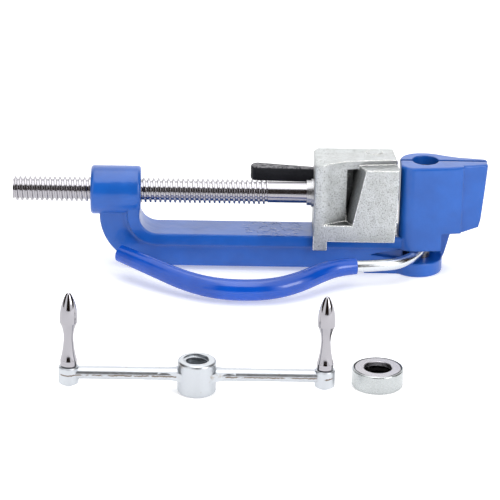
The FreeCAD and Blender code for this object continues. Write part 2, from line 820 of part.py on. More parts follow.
    # screw tenon and its cross pin
    cut_disc(body, "YZ_Plane", left, "0", "screw_height", "shank_dia / 2 + 0.05",
             "tenon_length + 0.3", reverse=True)
    hole = new_sketch(body, "XZ_Plane", "-block_back - 1")
    circle(hole, left + " + 7.4", "screw_height", "2")
    cut(body, hole, "block_back + 10.5", reverse=True)
    return body


def build_pin():
    pin_x = "-(head_left + block_gap + pin_inset)"
    pin = turned("gripper_pin", [
        ("0", "beam_top + slide_gap + 0.2"),
        ("pin_dia / 2 - 0.6", "beam_top + slide_gap + 0.2"),
        ("pin_dia / 2", "beam_top + slide_gap + 0.8"),
        ("pin_dia / 2", "block_top + 0.1"),
        ("pin_dia / 2 - 1", "block_top + 0.5"),
        ("0", "block_top + 0.5"),
    ])
    place(pin, pin_x, "pin_back")
    return pin


def build_gripper_lever():
    """Cam with its toothed nose, and the arm that swings it; the body's origin is on the pin."""
    body = new_body("gripper_lever")
    add_disc(body, "XY_Plane", "cam_bottom", "0", "-cam_offset", "cam_radius", "arm_top - cam_bottom")
    arm = new_sketch(body, "XY_Plane", "arm_bottom")
    outline(arm, [
        ("-2", "-6"),
        ("2", "6.2"),
        ("-20", "4.6"),
        ("-40", "5.4"),
        ("-arm_reach + 6", "11.6", "5.2"),
        ("-arm_reach + 5", "1.6"),
        ("-40", "0.4"),
        ("-14", "-0.4"),
    ])
    add(body, arm, "arm_top - arm_bottom")

    def arm_rim(edge, middle):
        ends = close_to(middle.z, value("arm_top")) or close_to(middle.z, value("arm_bottom"))
        return ends and middle.x < -15

    round_edges(body, "1.3", arm_rim)
    cut_disc(body, "XY_Plane", "arm_top", "0", "0", "pin_dia / 2 + turn_gap", "arm_top - cam_bottom + 1")
    place(body, "-(head_left + block_gap + pin_inset)", "pin_back")
    return body


# ---------------------------------------------------------------- crank
NUT_RADIUS = "screw_dia / 2 - screw_pitch / 2 + 0.25"


def build_crank():
    """Cast crank: threaded hub in the middle, tapered bars, and a boss for a handle at each end."""
    body = new_body("crank_arm")
    bar_radius = "crank_bar_height / 2"
    add_disc(body, "XY_Plane", "0", "0", "0", "hub_dia / 2", "hub_height")
    round_edges(body, "1.8", lambda edge, middle: isinstance(edge.Curve, Part.Circle))
    for side in ("-", ""):
        add_disc(body, "XY_Plane", "crank_mid - 6.4", side + "crank_throw", "0", "end_boss_dia / 2",
                 "end_boss_height")
    bar = new_sketch(body, "YZ_Plane", "-crank_throw")
    side_of_bar = "crank_bar_depth / 2 - " + bar_radius
    outline(bar, [
        ("-(" + side_of_bar + ")", "crank_mid - " + bar_radius),
        (side_of_bar, "crank_mid - " + bar_radius, bar_radius + " + 0.01"),
        (side_of_bar, "crank_mid + " + bar_radius),
        ("-(" + side_of_bar + ")", "crank_mid + " + bar_radius, bar_radius + " + 0.01"),
    ])
    add(body, bar, "2 * crank_throw")

    # webs where the bar flows into the hub
    flow = new_sketch(body, "XY_Plane", "crank_mid - 2.6")
    outline(flow, [
        ("-hub_dia", "-crank_bar_depth / 2 + 0.4", "-16"),
        ("-hub_dia * 0.33", "-hub_dia * 0.37"),
        ("hub_dia * 0.33", "-hub_dia * 0.37", "-16"),
        ("hub_dia", "-crank_bar_depth / 2 + 0.4"),
        ("hub_dia", "crank_bar_depth / 2 - 0.4", "-16"),
        ("hub_dia * 0.33", "hub_dia * 0.37"),
        ("-hub_dia * 0.33", "hub_dia * 0.37", "-16"),
        ("-hub_dia", "crank_bar_depth / 2 - 0.4"),
    ])
    add(body, flow, "5.2")

    def boss_rim(edge, middle):
        ring = isinstance(edge.Curve, Part.Circle) and close_to(edge.Curve.Radius, value("end_boss_dia / 2"))
        return ring and not close_to(middle.z, value("crank_mid"), value("crank_bar_height / 2 + 0.5"))

    round_edges(body, "0.8", boss_rim)
    for side in ("-", ""):
        cut_disc(body, "XY_Plane", "crank_mid + end_boss_height", side + "crank_throw", "0",
                 "spindle_dia / 2", "2 * end_boss_height")

    # the thread's bore, its wall in thirds so that each crest stays a short face of its own
    bore = new_sketch(body, "XY_Plane", "hub_height")
    outline(bore, [
        (NUT_RADIUS, "0", NUT_RADIUS),
        ("-(" + NUT_RADIUS + ") / 2", "(" + NUT_RADIUS + ") * 0.8660254", NUT_RADIUS),
        ("-(" + NUT_RADIUS + ") / 2", "-(" + NUT_RADIUS + ") * 0.8660254", NUT_RADIUS),
    ])
    cut(body, bore, "hub_height + 1").Refine = False
    doc.recompute()

    def thread_mouth(edge, middle):
        return isinstance(edge.Curve, Part.Circle) and close_to(edge.Curve.Radius, value(NUT_RADIUS))

    round_edges(body, "0.7", thread_mouth, "Chamfer").Refine = False
    return body


def build_hub_thread(body):
    """Internal thread of the hub, cut as a helix about Z."""
    pitch = value("screw_pitch")
    narrow = 0.19 * pitch
    wide = 0.36 * pitch
    root = "screw_dia / 2 + 0.25"
    minor = "screw_dia / 2 - screw_pitch / 2 + 0.05"
    profile = new_sketch(body, "XZ_Plane")
    outline(profile, [
        (minor, f"-screw_pitch - {wide}"),
        (root, f"-screw_pitch - {narrow}"),
        (root, f"-screw_pitch + {narrow}"),
        (minor, f"-screw_pitch + {wide}"),
    ])
    helix = body.newObject("PartDesign::SubtractiveHelix", "hub_thread")
    helix.Profile = profile
    helix.ReferenceAxis = (profile, ["V_Axis"])
    helix.Mode = 0
    helix.setExpression("Pitch", sized("screw_pitch"))
    helix.setExpression("Height", sized("hub_height + 2 * screw_pitch"))
    helix.Angle = 0
    helix.LeftHanded = False
    helix.Reversed = False
    helix.Refine = False
    body.Tip = helix
    doc.recompute()


def build_handle(side):
    """Turned handle on a spindle that is peened over under the boss."""
    name = "left" if side == "-" else "right"
    seat = "crank_mid - 6.4 + end_boss_height"
    start = seat + " + 0.3"
    rise = start + " + handle_length"
    bore = "spindle_dia / 2 + turn_gap"
    grip = turned("crank_grip_" + name, [
        (bore, start),
        ("4.6", start),
        ("5.0", start + " + 0.5"),
        ("5.0", start + " + 3.6", "-60"),
        ("3.1", start + " + 0.32 * handle_length", "-22"),
        ("5.3", start + " + 0.60 * handle_length", "34"),
        ("1.6", rise + " - 0.9", "1.8"),
        ("0.5", rise),
        ("0", rise),
        ("0", start + " + 0.30 * handle_length"),
        (bore, start + " + 0.30 * handle_length"),
    ])
    spindle = turned("spindle_" + name, [
        ("0", "crank_mid - 6.4 - 1.3"),
        ("spindle_dia / 2 + 0.6", "crank_mid - 6.4 - 1.3"),
        ("spindle_dia / 2 + 1.2", "crank_mid - 6.4"),
        ("spindle_dia / 2", "crank_mid - 6.4"),
        ("spindle_dia / 2", start + " + 0.30 * handle_length - 0.4"),
        ("0", start + " + 0.30 * handle_length - 0.4"),
    ])
    for body in (grip, spindle):
        place(body, "crank_place_x " + (side or "+") + " crank_throw", "crank_place_y")
    return grip, spindle


# ---------------------------------------------------------------- thrust bearing
def build_bearing():
    """Thrust ball bearing in a pressed shroud, lying flat."""
    inner = "screw_dia / 2 + bore_gap"
    outer = "bearing_dia / 2 - shroud_wall - 0.1"
    wall_inside = "bearing_dia / 2 - shroud_wall"
    upper_low = "bearing_height - race_thick"
    track = "(screw_dia / 2 + bearing_dia / 2) / 2"
    middle = "(bearing_height + shroud_wall) / 2"
    ball = "ball_dia / 2"
    shroud = turned("bearing_shroud", [
        (inner + " + 0.6", "0"),
        ("bearing_dia / 2 - 1", "0", "1"),
        ("bearing_dia / 2", "1"),
        ("bearing_dia / 2", "bearing_height - 0.9", "0.9"),
        ("bearing_dia / 2 - 0.9", "bearing_height - 0.0"),
        ("bearing_dia / 2 - 0.95", "bearing_height - 0.9"),
        (wall_inside, "bearing_height - 1.2"),
        (wall_inside, "shroud_wall"),
        (inner + " + 0.6", "shroud_wall"),
    ])
    lower = turned("bearing_lower_race", [
        (inner, "shroud_wall"),
        (outer, "shroud_wall"),
        (outer, "shroud_wall + race_thick"),
        (track + " + 1.5", "shroud_wall + race_thick"),
        (track + " - 1.5", "shroud_wall + race_thick"),
        (inner, "shroud_wall + race_thick"),
    ])
    upper = turned("bearing_upper_race", [
        (inner, upper_low),
        ("bearing_dia / 2 - 1.5", upper_low),
        ("bearing_dia / 2 - 1.5", "bearing_height - 0.3"),
        ("bearing_dia / 2 - 1.8", "bearing_height"),
        (inner + " + 0.4", "bearing_height"),
        (inner, "bearing_height - 0.4"),
    ])
    ring = turned("cage_ring", [
        (inner + " + 0.7", middle + " - 0.9"),
        (outer + " - 1.2", middle + " - 0.9"),
        (outer + " - 1.2", middle + " + 0.9"),
        (inner + " + 0.7", middle + " + 0.9"),
    ])
    doc.recompute()
    balls = []
    holes = []
    for number in range(BALL_COUNT):
        turn = 360 / BALL_COUNT * number
        for radius, group, name in ((ball, balls, "ball"), (ball + " + 0.15", holes, "cage_hole")):
            sphere = doc.addObject("Part::Sphere", f"{name}_{number}")
            sphere.setExpression("Radius", sized(radius))
            place(sphere, f"{track} * cos({turn} deg)", f"{track} * sin({turn} deg)", middle)
            group.append(sphere)
    pockets = doc.addObject("Part::MultiFuse", "cage_holes")
    pockets.Shapes = holes
    cage = doc.addObject("Part::Cut", "bearing_cage")
    cage.Base = ring
    cage.Tool = pockets
    cage.Label = "bearing_cage"
    ball_set = doc.addObject("Part::Compound", "bearing_balls")
    ball_set.Links = balls
    ball_set.Label = "bearing_balls"
    pieces = [shroud, lower, upper, cage, ball_set]
    for piece in pieces:
        place(piece, "bearing_place_x", "bearing_place_y")
    return pieces


# ---------------------------------------------------------------- build, check and write
def main():
    lever_rod, lever_grip, heading = build_lever()
    cutter = build_cutter_shaft()
    bore_cutter(cutter, heading)
    crank = build_crank()
    build_hub_thread(crank)
    place(crank, "crank_place_x", "crank_place_y")
    seat_washer, shim_stack = build_washers()
    pieces = [
        build_frame(),
        cutter,
        lever_rod,
        lever_grip,
        build_set_screw(heading),
        ring_body("cutter_washer", "neck_dia / 2 + 2.2", "neck_dia / 2 + 0.1",
                  "seat_depth - 0.3 - ring_thick", "ring_thick"),
        build_snap_ring(),
        build_block(),
        build_screw(),
        seat_washer,
        shim_stack,
        build_cross_pin(),
        build_pin(),
        build_gripper_lever(),
        crank,
    ]
    for side in ("-", ""):
        pieces.extend(build_handle(side))
    pieces.extend(build_bearing())
    doc.recompute()

    for item in doc.Objects:
        if "Invalid" in item.State or "Error" in item.State:
            raise RuntimeError(f"{item.Name} failed: {item.State}")
    for piece in pieces:
        shape = piece.Shape
        if shape.isNull() or not shape.isValid() or not shape.Solids:
            raise RuntimeError(f"{piece.Label} has no valid solid")
    for piece in pieces:
        piece.Shape.exportStep(f"parts/{piece.Label}.step")
        print(piece.Label, len(piece.Shape.Solids), round(piece.Shape.Volume))


main()
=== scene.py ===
from math import pi, radians, sin

import bmesh
import bpy
from bpy.props import FloatProperty, FloatVectorProperty, PointerProperty, StringProperty
from bpy.types import Operator, Panel, PropertyGroup
from mathutils import Matrix, Vector


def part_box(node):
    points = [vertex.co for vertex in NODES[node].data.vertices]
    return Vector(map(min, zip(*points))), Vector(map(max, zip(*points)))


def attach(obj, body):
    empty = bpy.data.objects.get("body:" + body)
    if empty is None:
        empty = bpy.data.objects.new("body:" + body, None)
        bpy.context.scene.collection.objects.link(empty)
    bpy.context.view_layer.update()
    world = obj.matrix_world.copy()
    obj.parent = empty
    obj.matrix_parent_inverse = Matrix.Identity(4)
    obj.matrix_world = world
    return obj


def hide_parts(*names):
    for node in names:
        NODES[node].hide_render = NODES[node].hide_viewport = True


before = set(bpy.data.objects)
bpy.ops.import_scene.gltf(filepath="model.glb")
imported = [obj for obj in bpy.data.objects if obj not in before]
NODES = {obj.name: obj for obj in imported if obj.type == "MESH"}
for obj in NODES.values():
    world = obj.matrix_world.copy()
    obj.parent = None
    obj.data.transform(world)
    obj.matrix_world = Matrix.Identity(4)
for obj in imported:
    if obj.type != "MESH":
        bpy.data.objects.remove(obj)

bl_info = {
    "name": "Band Tensioner",
    "version": (1, 0, 0),
    "blender": (4, 5, 0),
    "location": "View3D > Sidebar > Band Tensioner",
    "description": "Finishes a hand-cranked steel band tensioner: enamel, plating, sleeve and studio",
    "category": "Object",
}

MM = 0.001


# ---------------------------------------------------------------- materials

def colour(hexa):
    """Linear RGBA of an sRGB colour such as '#2A5FC0'."""
    parts = [int(hexa[i:i + 2], 16) / 255 for i in (1, 3, 5)]
    return [p / 12.92 if p <= 0.04045 else ((p + 0.055) / 1.055) ** 2.4 for p in parts] + [1.0]


def add_node(tree, kind, feeds=None, **settings):
    """A node with its settings; each of its inputs gets a plain value or another node's output."""
    made = tree.nodes.new(kind)
    for name, setting in settings.items():
        setattr(made, name, setting)
    for socket, feed in (feeds or {}).items():
        if isinstance(feed, bpy.types.NodeSocket):
            tree.links.new(feed, made.inputs[socket])
        else:
            made.inputs[socket].default_value = feed
    return made


def new_finish(name):
    """An empty material: its node tree, its shader and the object coordinates its patterns read."""
    material = bpy.data.materials.new(name)
    material.use_nodes = True
    tree = material.node_tree
    shader = tree.nodes["Principled BSDF"]
    place = add_node(tree, "ShaderNodeTexCoord").outputs["Object"]
    return material, tree, shader, place


def per_mm(size):
    """The texture scale whose features are about this many millimetres wide."""
    return 1 / (size * MM)


def soft_patches(tree, place, width, low, high, detail=2.0, rough=0.5, least=0.0, most=1.0):
    """Patches this many millimetres wide: the least value where the noise is low, the most where it is high."""
    pattern = add_node(tree, "ShaderNodeTexNoise", {
        "Vector": place, "Scale": per_mm(width), "Detail": detail, "Roughness": rough})
    return add_node(tree, "ShaderNodeMapRange", {
        "Value": pattern.outputs["Fac"], "From Min": low, "From Max": high, "To Min": least, "To Max": most},
        interpolation_type="SMOOTHSTEP").outputs["Result"]


def rippled_skin(tree, place, width, depth, strength, detail, below=None):
    """The normal of a skin with waves this wide and deep in millimetres, over another normal if one is given."""
    waves = add_node(tree, "ShaderNodeTexNoise", {
        "Vector": place, "Scale": per_mm(width), "Detail": detail, "Roughness": 0.5})
    feeds = {"Height": waves.outputs["Fac"], "Strength": strength, "Distance": depth * MM}
    if below is not None:
        feeds["Normal"] = below
    return add_node(tree, "ShaderNodeBump", feeds).outputs["Normal"]


def pit_surface(tree, shader, place, width, depth, smooth, rough, strength=0.6):
    """Pits this wide and deep in millimetres, whose floors and rims differ in roughness."""
    pits = add_node(tree, "ShaderNodeTexNoise", {
        "Vector": place, "Scale": per_mm(width), "Detail": 3, "Roughness": 0.6}).outputs["Fac"]
    sheen = add_node(tree, "ShaderNodeMapRange", {
        "Value": pits, "From Min": 0.3, "From Max": 0.7, "To Min": smooth, "To Max": rough},
        interpolation_type="SMOOTHSTEP")
    tree.links.new(sheen.outputs["Result"], shader.inputs["Roughness"])
    bump = add_node(tree, "ShaderNodeBump", {"Height": pits, "Strength": strength, "Distance": depth * MM})
    tree.links.new(bump.outputs["Normal"], shader.inputs["Normal"])


def layered_colour(tree, base, *layers):
    """A base colour with others laid over it in turn, each where its mask is 1."""
    for mask, tone in layers:
        base = add_node(tree, "ShaderNodeMix", {0: mask, 6: base, 7: colour(tone)}, data_type="RGBA").outputs[2]
    return base


def where_all(tree, mask, *others):
    """A mask that is 1 only where all of these masks are."""
    for other in others:
        mask = add_node(tree, "ShaderNodeMath", {0: mask, 1: other}, operation="MULTIPLY").outputs[0]
    return mask


def blue_enamel(settings):
    """Gloss enamel, sprayed on a sand casting: a slow ripple under the gloss, and thick drips on top of the beam."""
    material, tree, shader, place = new_finish("blue_gloss_enamel")
    cloud = soft_patches(tree, place, width=22, low=0.3, high=0.7, detail=3)
    shade = layered_colour(tree, colour(settings.enamel_deep), (cloud, settings.enamel))
    tree.links.new(shade, shader.inputs["Base Color"])
    shader.inputs["Roughness"].default_value = 0.34
    shader.inputs["IOR"].default_value = 1.5
    shader.inputs["Specular IOR Level"].default_value = 0.4
    shader.inputs["Coat Weight"].default_value = 0.35
    shader.inputs["Coat Roughness"].default_value = 0.05
    rounded = add_node(tree, "ShaderNodeBevel", {"Radius": 1.6 * MM}, samples=6).outputs["Normal"]
    ripple = rippled_skin(tree, place, width=7, depth=0.5, strength=0.55, detail=2, below=rounded)
    # thick drips on the beam's upper face, fading out over a few millimetres at both ends
    part = add_node(tree, "ShaderNodeSeparateXYZ", {"Vector": place})
    fade = 6 * MM
    drips = soft_patches(tree, place, width=6, low=0.5, high=0.56, detail=3, rough=0.6)
    for axis, none, full in (
        ("Z", settings.beam_top - 0.6 * MM, settings.beam_top),
        ("X", settings.drips_left, settings.drips_left + fade),
        ("X", settings.drips_right, settings.drips_right - fade),
    ):
        inside = add_node(tree, "ShaderNodeMapRange", {
            "Value": part.outputs[axis], "From Min": none, "From Max": full}, interpolation_type="SMOOTHSTEP")
        drips = where_all(tree, drips, inside.outputs["Result"])
    ripple = add_node(tree, "ShaderNodeBump", {
        "Height": drips, "Strength": 1.0, "Distance": 0.8 * MM, "Normal": ripple}).outputs["Normal"]
    peel = rippled_skin(tree, place, width=1.6, depth=0.08, strength=0.35, detail=1, below=ripple)
    tree.links.new(peel, shader.inputs["Normal"])
    tree.links.new(ripple, shader.inputs["Coat Normal"])
    return material


def blue_vinyl(settings):
    """PVC, dipped: smoother and deeper than the enamel, with long soft highlights."""
    material, tree, shader, place = new_finish("blue_dipped_vinyl")
    cloud = soft_patches(tree, place, width=30, low=0.35, high=0.65, detail=2)
    shade = layered_colour(tree, colour(settings.vinyl_deep), (cloud, settings.vinyl))
    tree.links.new(shade, shader.inputs["Base Color"])
    shader.inputs["Roughness"].default_value = 0.14
    shader.inputs["IOR"].default_value = 1.53
    skin = rippled_skin(tree, place, width=9, depth=0.3, strength=0.3, detail=2)
    tree.links.new(skin, shader.inputs["Normal"])
    return material


def worn_edges(tree, width):
    """A mask that is 1 on outer edges, about as wide as stated in millimetres, and the normal rounded over them."""
    rounded = add_node(tree, "ShaderNodeBevel", {"Radius": width * MM}, samples=6).outputs["Normal"]
    true_normal = add_node(tree, "ShaderNodeNewGeometry").outputs["Normal"]
    facing = add_node(tree, "ShaderNodeVectorMath", {0: rounded, 1: true_normal}, operation="DOT_PRODUCT")
    edge = add_node(tree, "ShaderNodeMapRange", {
        "Value": facing.outputs["Value"], "From Min": 0.99, "From Max": 0.9}, interpolation_type="SMOOTHSTEP")
    return edge.outputs["Result"], rounded


def zinc_casting():
    """Zinc plate on a sand casting: pale and grainy, with handled edges worn bright, grey pits between, and painted
    shade darkening its recesses.
    """
    material, tree, shader, place = new_finish("zinc_plated_sand_casting")
    shader.inputs["Metallic"].default_value = 1.0
    grain = add_node(tree, "ShaderNodeTexNoise", {
        "Vector": place, "Scale": per_mm(0.9), "Detail": 3, "Roughness": 0.65}).outputs["Fac"]
    cloud = soft_patches(tree, place, width=7, low=0.3, high=0.7, detail=3)
    hollows = add_node(tree, "ShaderNodeMapRange", {
        "Value": grain, "From Min": 0.36, "From Max": 0.5, "To Min": 0.7, "To Max": 0.0},
        interpolation_type="SMOOTHSTEP").outputs["Result"]
    # painted shade: the casting darkens to dark grey where ambient occlusion finds a recess
    recess = add_node(tree, "ShaderNodeAmbientOcclusion", {"Distance": 30 * MM}, samples=8).outputs["AO"]
    painted_recess_shade = add_node(tree, "ShaderNodeMapRange", {
        "Value": recess, "From Min": 0.85, "From Max": 0.3, "To Min": 0.0, "To Max": 0.9},
        interpolation_type="SMOOTHSTEP").outputs["Result"]
    pits = soft_patches(tree, place, width=2.1, low=0.6, high=0.7, detail=4, rough=0.7)
    edge, rounded = worn_edges(tree, width=1.4)
    lighter_patches = where_all(
        tree, edge, soft_patches(tree, place, width=1.3, low=0.3, high=0.5, detail=3, rough=0.7))
    # the dark grey #4E504F laid over recesses is painted shade
    shade = layered_colour(
        tree, colour("#BFC2C2"), (cloud, "#CDD0D1"), (hollows, "#7C7E7D"), (painted_recess_shade, "#4E504F"), (pits, "#8C8E8C"),
        (lighter_patches, "#FFFFFD"))
    tree.links.new(shade, shader.inputs["Base Color"])
    sandy = add_node(tree, "ShaderNodeMapRange", {
        "Value": grain, "From Min": 0.3, "From Max": 0.7, "To Min": 0.3, "To Max": 0.5},
        interpolation_type="SMOOTHSTEP").outputs["Result"]
    sheen = add_node(tree, "ShaderNodeMix", {0: lighter_patches, 2: sandy, 3: 0.16})
    tree.links.new(sheen.outputs[0], shader.inputs["Roughness"])
    bump = add_node(tree, "ShaderNodeBump", {
        "Height": grain, "Strength": 1.0, "Distance": 0.6 * MM, "Normal": rounded})
    tree.links.new(bump.outputs["Normal"], shader.inputs["Normal"])
    return material


def plated(name, tone, roughness, grain=0.0, depth=0.0):
    """A bare or plated metal: its tone, how rough it is, and the grain that it keeps, wide and deep in millimetres."""
    material, tree, shader, place = new_finish(name)
    shader.inputs["Metallic"].default_value = 1.0
    shader.inputs["Base Color"].default_value = colour(tone)
    if grain:
        pit_surface(tree, shader, place, grain, depth, roughness * 0.75, roughness * 1.25)
    else:
        shader.inputs["Roughness"].default_value = roughness
    return material


def crank_casting(settings):
    """Bright zinc on a cast crank: smooth and pale, with the brown rough line where the mould halves met."""
    material, tree, shader, place = new_finish("bright_zinc_on_casting")
    shader.inputs["Metallic"].default_value = 1.0
    part = add_node(tree, "ShaderNodeSeparateXYZ", {"Vector": place})
    # the mould line: thin, wandering up and down, broken by gaps, and only on the front of the two bars
    half_width = 0.4 * MM
    wander = soft_patches(tree, place, width=3.2, low=0.2, high=0.8, detail=4, rough=0.7,
                          least=-half_width, most=half_width)
    height = add_node(tree, "ShaderNodeMath", {0: part.outputs["Z"], 1: wander}, operation="ADD").outputs[0]
    near_line = add_node(tree, "ShaderNodeMath", {
        0: height, 1: settings.parting_height, 2: half_width}, operation="COMPARE").outputs[0]
    front = add_node(tree, "ShaderNodeMapRange", {
        "Value": part.outputs["Y"], "From Min": settings.crank_front + 1.2 * MM,
        "From Max": settings.crank_front + 0.2 * MM}, interpolation_type="SMOOTHSTEP").outputs["Result"]
    unbroken = soft_patches(tree, place, width=6, low=0.36, high=0.46, detail=2)
    near_hub = add_node(tree, "ShaderNodeMath", {
        0: part.outputs["X"], 1: CRANK_MIDDLE.x, 2: HUB_REACH}, operation="COMPARE").outputs[0]
    on_bars = add_node(tree, "ShaderNodeMapRange", {
        "Value": near_hub, "From Min": 1.0, "From Max": 0.0}, interpolation_type="SMOOTHSTEP").outputs["Result"]
    line = where_all(tree, near_line, front, where_all(tree, unbroken, on_bars))
    cloud = soft_patches(tree, place, width=5, low=0.6, high=0.74, detail=4, rough=0.65)
    shade = layered_colour(tree, colour("#C0C4C9"), (cloud, "#A8A198"), (line, "#766A60"))
    tree.links.new(shade, shader.inputs["Base Color"])
    pit_surface(tree, shader, place, width=1.6, depth=0.05, smooth=0.28, rough=0.4, strength=0.5)
    return material


def black_lever():
    """Blackened iron, grey in patches on its upward-facing faces."""
    material, tree, shader, place = new_finish("blackened_iron_grey_on_top")
    shader.inputs["Metallic"].default_value = 0.6
    normal = add_node(tree, "ShaderNodeNewGeometry").outputs["Normal"]
    upward = add_node(tree, "ShaderNodeSeparateXYZ", {"Vector": normal}).outputs["Z"]
    upper_face = add_node(tree, "ShaderNodeMapRange", {
        "Value": upward, "From Min": 0.35, "From Max": 0.9}, interpolation_type="SMOOTHSTEP").outputs["Result"]
    # lighter grey patches, only on faces that look upward
    lighter_patches = where_all(
        tree, upper_face, soft_patches(tree, place, width=2.2, low=0.4, high=0.56, detail=4, rough=0.7))
    tree.links.new(layered_colour(tree, colour("#26272C"), (lighter_patches, "#77767A")), shader.inputs["Base Color"])
    pit_surface(tree, shader, place, width=1.4, depth=0.15, smooth=0.42, rough=0.62)
    return material


def finish_nodes(material, *names):
    """Gives CAD nodes a material of their own."""
    for name in names:
        mesh = NODES[name].data
        mesh.materials.clear()
        mesh.materials.append(material)


# ---------------------------------------------------------------- meshes

def finished(mesh_name, mesh, material, body):
    """A new piece from a mesh in its place: smooth, with its material, riding on its body."""
    piece = bpy.data.objects.new(mesh_name, mesh)
    bpy.context.scene.collection.objects.link(piece)
    mesh.materials.append(material)
    mesh.shade_smooth()
    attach(piece, body)
    return piece


# The sleeve's centre line and its diameter along it, in millimetres: thin at both mouths, fullest in the bow.
SLEEVE_LINE = [
    (-44.0, -32.4, 14.0, 10.6),
    (-54.0, -34.4, 14.0, 11.2),
    (-66.0, -41.0, 13.0, 12.4),
    (-80.0, -53.0, 11.0, 13.0),
    (-97.0, -60.5, 9.0, 13.6),
    (-118.0, -62.5, 8.5, 13.8),
    (-138.0, -59.5, 9.0, 13.4),
    (-156.0, -51.5, 11.0, 12.6),
    (-172.0, -41.0, 14.0, 12.0),
    (-195.0, -24.0, 17.0, 11.0),
]


def swept_sleeve():
    """The lever's sleeve as a mesh: a smooth line with a round section that swells along it."""
    curve = bpy.data.curves.new("sleeve_line", "CURVE")
    curve.dimensions = "3D"
    curve.resolution_u = 14
    curve.bevel_depth = MM
    curve.bevel_resolution = 10
    curve.use_fill_caps = True
    line = curve.splines.new("NURBS")
    line.points.add(len(SLEEVE_LINE) - 1)
    for point, (x, y, z, diameter) in zip(line.points, SLEEVE_LINE):
        point.co = (x * MM, y * MM, z * MM, 1)
        point.radius = diameter / 2
    line.order_u = 3
    line.use_endpoint_u = True
    carrier = bpy.data.objects.new("sleeve_line", curve)
    mesh = bpy.data.meshes.new_from_object(carrier)
    bpy.data.objects.remove(carrier)
    return mesh


# The tent: its roof is lit between two heights above the level, its walls between two headings from the front,
# all in degrees, each with its strength.
TENT_ROOF = (48, 66, 1.6)
TENT_WALLS = ((20, 62, 1.4), (128, 200, 1.5))
WALL_RISE = 12
WALL_FALL = 14
TENT_TONE = "#FFFFFF"
ROOM_TONE = "#8A6E58"
ROOM_STRENGTH = 0.1

# Each softbox: its name, place, aim and size in metres, and its power in watts.
SOFTBOXES = (
    ("overhead_softbox", (-0.15, -0.05, 1.1), (-0.12, -0.05, 0.0), (1.3, 0.34), 2.6),
    ("right_softbox", (0.75, -0.85, 0.55), (-0.02, 0.0, 0.05), (0.5, 0.6), 5.0),
)
TABLE_TONE = "#F6F6F7"
TABLE_GLOW = 0.35
SENSOR_WIDTH = 36.0                  # millimetres
CLIP_NEAR, CLIP_FAR = 0.1, 20.0


def studio_light():
    """A white tent, open in front: bright above, behind and at both front corners, dark and warm between them."""
    world = bpy.data.worlds.new("white_tent")
    world.use_nodes = True
    tree = world.node_tree
    backdrop = tree.nodes["Background"]
    heading = add_node(tree, "ShaderNodeTexCoord").outputs["Generated"]
    part = add_node(tree, "ShaderNodeSeparateXYZ", {"Vector": heading})
    across = add_node(tree, "ShaderNodeMath", {0: part.outputs["X"]}, operation="ABSOLUTE").outputs[0]
    ahead = add_node(tree, "ShaderNodeMath", {0: part.outputs["Y"], 1: -1.0}, operation="MULTIPLY").outputs[0]
    round_from_front = add_node(tree, "ShaderNodeMath", {0: across, 1: ahead}, operation="ARCTAN2").outputs[0]
    roof_low, roof_high, roof_strength = TENT_ROOF
    glow = add_node(tree, "ShaderNodeMapRange", {
        "Value": part.outputs["Z"], "From Min": sin(radians(roof_low)), "From Max": sin(radians(roof_high)),
        "To Max": roof_strength}, interpolation_type="SMOOTHSTEP").outputs["Result"]
    for first, last, strength in TENT_WALLS:
        rise = add_node(tree, "ShaderNodeMapRange", {
            "Value": round_from_front, "From Min": radians(first), "From Max": radians(first + WALL_RISE),
            "To Max": strength}, interpolation_type="SMOOTHSTEP").outputs["Result"]
        fall = add_node(tree, "ShaderNodeMapRange", {
            "Value": round_from_front, "From Min": radians(last), "From Max": radians(last + WALL_FALL),
            "To Min": 1.0, "To Max": 0.0}, interpolation_type="SMOOTHSTEP").outputs["Result"]
        glow = add_node(tree, "ShaderNodeMath", {
            0: glow, 1: where_all(tree, rise, fall)}, operation="MAXIMUM").outputs[0]
    lit = add_node(tree, "ShaderNodeMapRange", {
        "Value": glow, "From Max": 0.4}, interpolation_type="SMOOTHSTEP").outputs["Result"]
    tree.links.new(layered_colour(tree, colour(ROOM_TONE), (lit, TENT_TONE)), backdrop.inputs["Color"])
    strength = add_node(tree, "ShaderNodeMath", {0: glow, 1: ROOM_STRENGTH}, operation="MAXIMUM")
    tree.links.new(strength.outputs[0], backdrop.inputs["Strength"])
    return world


# ---------------------------------------------------------------- settings

CRANK_LOW, CRANK_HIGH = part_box("crank_arm")
CRANK_MIDDLE = (CRANK_LOW + CRANK_HIGH) / 2
CRANK_BAR_DEPTH = 9.0 * MM
CRANK_BAR_HEIGHT = 11.0 * MM         # from the crank's foot to the middle of its bars
CRANK_FACE = CRANK_MIDDLE.y - CRANK_BAR_DEPTH / 2
HUB_REACH = 12 * MM                  # the mould line stops this far from the hub's middle


